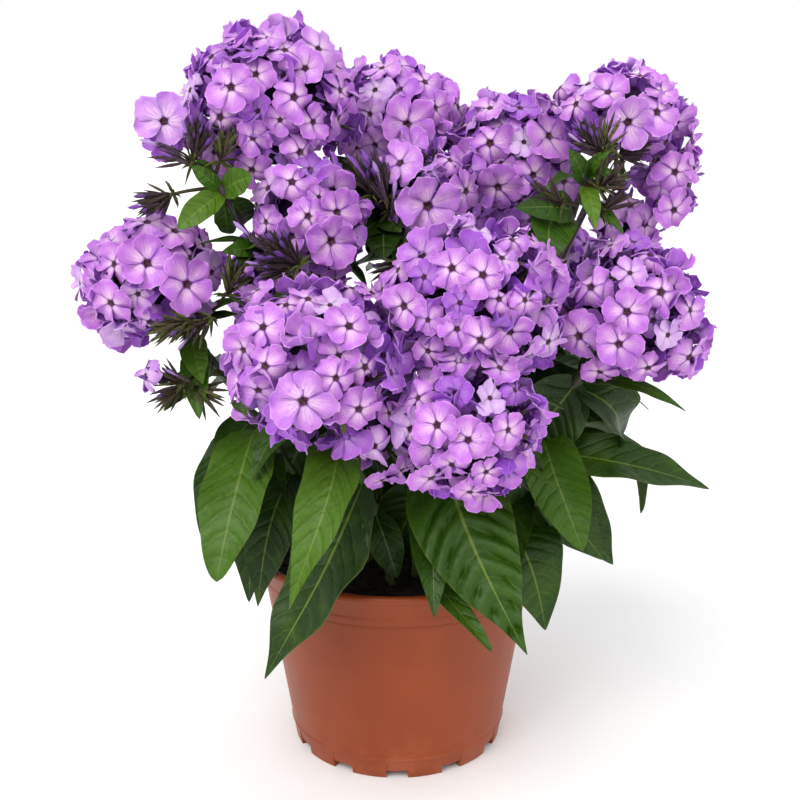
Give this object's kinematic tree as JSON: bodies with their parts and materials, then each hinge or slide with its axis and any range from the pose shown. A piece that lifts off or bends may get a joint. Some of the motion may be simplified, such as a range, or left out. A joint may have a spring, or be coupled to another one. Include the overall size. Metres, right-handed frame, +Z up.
{
  "type": "potted garden phlox plant",
  "caption": "Garden phlox in a round terracotta-coloured plastic nursery pot, with domed lilac flower heads on leafy upright stems.",
  "frame": {"origin": "middle of the pot's foot, on the surface that it stands on, under the middle of the plant", "axes": "+Z up along the pot's axis, -Y towards the plant's front, +X to its right as seen from the front"},
  "size_m": [0.3127, 0.2305, 0.3719],
  "materials": {
    "terracotta": "satin",
    "peat": "rough",
    "foliage": "satin",
    "florets": "matte",
    "buds": "matte"
  },
  "bodies": {
    "root": {"pot": "terracotta", "soil": "peat", "leafy_stem_a": "foliage", "leafy_stem_b": "foliage", "leafy_stem_c": "foliage", "leafy_stem_d": "foliage", "leafy_stem_e": "foliage", "leafy_stem_f": "foliage", "leafy_stem_g": "foliage", "leafy_stem_h": "foliage", "leafy_stem_j": "foliage", "leafy_stem_k": "foliage", "leafy_stem_l": "foliage", "leafy_stem_m": "foliage", "flower_head_a": "florets", "flower_head_b": "florets", "flower_head_c": "florets", "flower_head_d": "florets", "flower_head_e": "florets", "flower_head_f": "florets", "flower_head_g": "florets", "flower_head_h": "florets", "flower_head_i": "florets", "flower_head_j": "florets", "flower_head_k": "florets", "flower_head_l": "florets", "flower_head_m": "florets", "flower_head_n": "florets", "bud_spray_1": "buds", "bud_spray_2": "buds", "bud_spray_3": "buds", "bud_spray_4": "buds", "bud_spray_5": "buds", "bud_spray_6": "buds", "bud_spray_7": "buds", "bud_spray_8": "buds", "bud_spray_9": "buds"}
  },
  "joints": []
}
